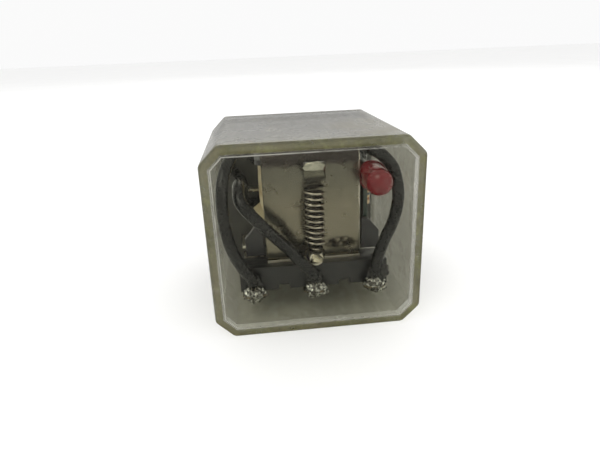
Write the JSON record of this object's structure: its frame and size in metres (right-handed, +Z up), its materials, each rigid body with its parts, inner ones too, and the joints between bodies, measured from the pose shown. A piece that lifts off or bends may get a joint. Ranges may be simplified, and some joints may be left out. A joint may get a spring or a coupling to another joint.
{
  "type": "plug-in control relay",
  "caption": "Plug-in control relay: clear cover with bevelled corners over a coil, steel frame, sprung armature, changeover contacts with flexible leads, a red lamp and a flat-blade base.",
  "frame": {"origin": "bottom centre of the bounding box: the middle of the side the relay lies on", "axes": "+Y points out of the base along the blades, -Y is the closed end of the cover, +Z is up from the contact side to the coil heel, +X is to the right when looking at the closed end"},
  "size_m": [0.0388, 0.047, 0.0362],
  "materials": {
    "clear_cover": "clear, slightly smoked and aged, moulded",
    "base_moulding": "moulded thermoset",
    "black_moulding": "moulded, satin",
    "bobbin_moulding": "moulded, satin",
    "nickel_steel": "dull nickel plate with light wear",
    "soft_iron": "turned, plated",
    "copper": "enamelled copper",
    "tape": "cream adhesive tape",
    "spring_bronze": "rolled spring bronze",
    "contact_silver": "silver alloy, satin",
    "solder": "bright cast solder",
    "spring_steel": "drawn wire, darkened",
    "tinned_brass": "tin plated",
    "sleeve": "black insulated sleeve, slightly glossy",
    "red_lens": "red translucent epoxy",
    "board": "dark glass-epoxy board",
    "resistor_body": "lacquered body"
  },
  "bodies": {
    "base_unit": {"base_block": "base_moulding", "board_wire_left": "sleeve", "board_wire_right": "sleeve", "bobbin": "bobbin_moulding", "coil_blade_left": "tinned_brass", "coil_blade_right": "tinned_brass", "coil_tape": "tape", "coil_winding": "copper", "coil_wire_left": "copper", "coil_wire_right": "copper", "common_blade_left": "tinned_brass", "common_blade_middle": "tinned_brass", "common_blade_right": "tinned_brass", "core": "soft_iron", "diode": "black_moulding", "frame": "nickel_steel", "frame_screw_left": "tinned_brass", "frame_screw_right": "tinned_brass", "indicator_board": "board", "lamp_lens": "red_lens", "lamp_pin_lower": "tinned_brass", "lamp_pin_upper": "tinned_brass", "lead_left": "sleeve", "lead_middle": "sleeve", "lead_right": "sleeve", "nc_blade_left": "tinned_brass", "nc_blade_middle": "tinned_brass", "nc_blade_right": "tinned_brass", "nc_contact_left": "contact_silver", "nc_contact_middle": "contact_silver", "nc_contact_right": "contact_silver", "no_blade_left": "tinned_brass", "no_blade_middle": "tinned_brass", "no_blade_right": "tinned_brass", "no_contact_left": "contact_silver", "no_contact_middle": "contact_silver", "no_contact_right": "contact_silver", "resistor": "resistor_body", "return_spring": "spring_steel", "shading_ring": "copper"},
    "moving_contacts": {"armature": "nickel_steel", "contact_carrier": "black_moulding", "carrier_rivet_left": "tinned_brass", "carrier_rivet_right": "tinned_brass", "contact_arm_left": "spring_bronze", "moving_contact_left": "contact_silver", "arm_rivet_left": "tinned_brass", "solder_joint_left": "solder", "contact_arm_middle": "spring_bronze", "moving_contact_middle": "contact_silver", "arm_rivet_middle": "tinned_brass", "solder_joint_middle": "solder", "contact_arm_right": "spring_bronze", "moving_contact_right": "contact_silver", "arm_rivet_right": "tinned_brass", "solder_joint_right": "solder"},
    "cover": {"dust_cover": "clear_cover"}
  },
  "joints": [
    {"name": "armature_hinge", "type": "hinge", "parent": "base_unit", "child": "moving_contacts", "pos_m": [0, -0.01405, 0.0111], "axis": [1, 0, 0], "range_deg": [0, 3.5], "stiffness_Nm_per_rad": 0.0045, "springref_deg": -20.05, "deforming": ["return_spring", "lead_left", "lead_middle", "lead_right"]},
    {"name": "cover_pull", "type": "slide", "parent": "base_unit", "child": "cover", "axis": [0, -1, 0], "range_m": [0, 0.045]}
  ]
}
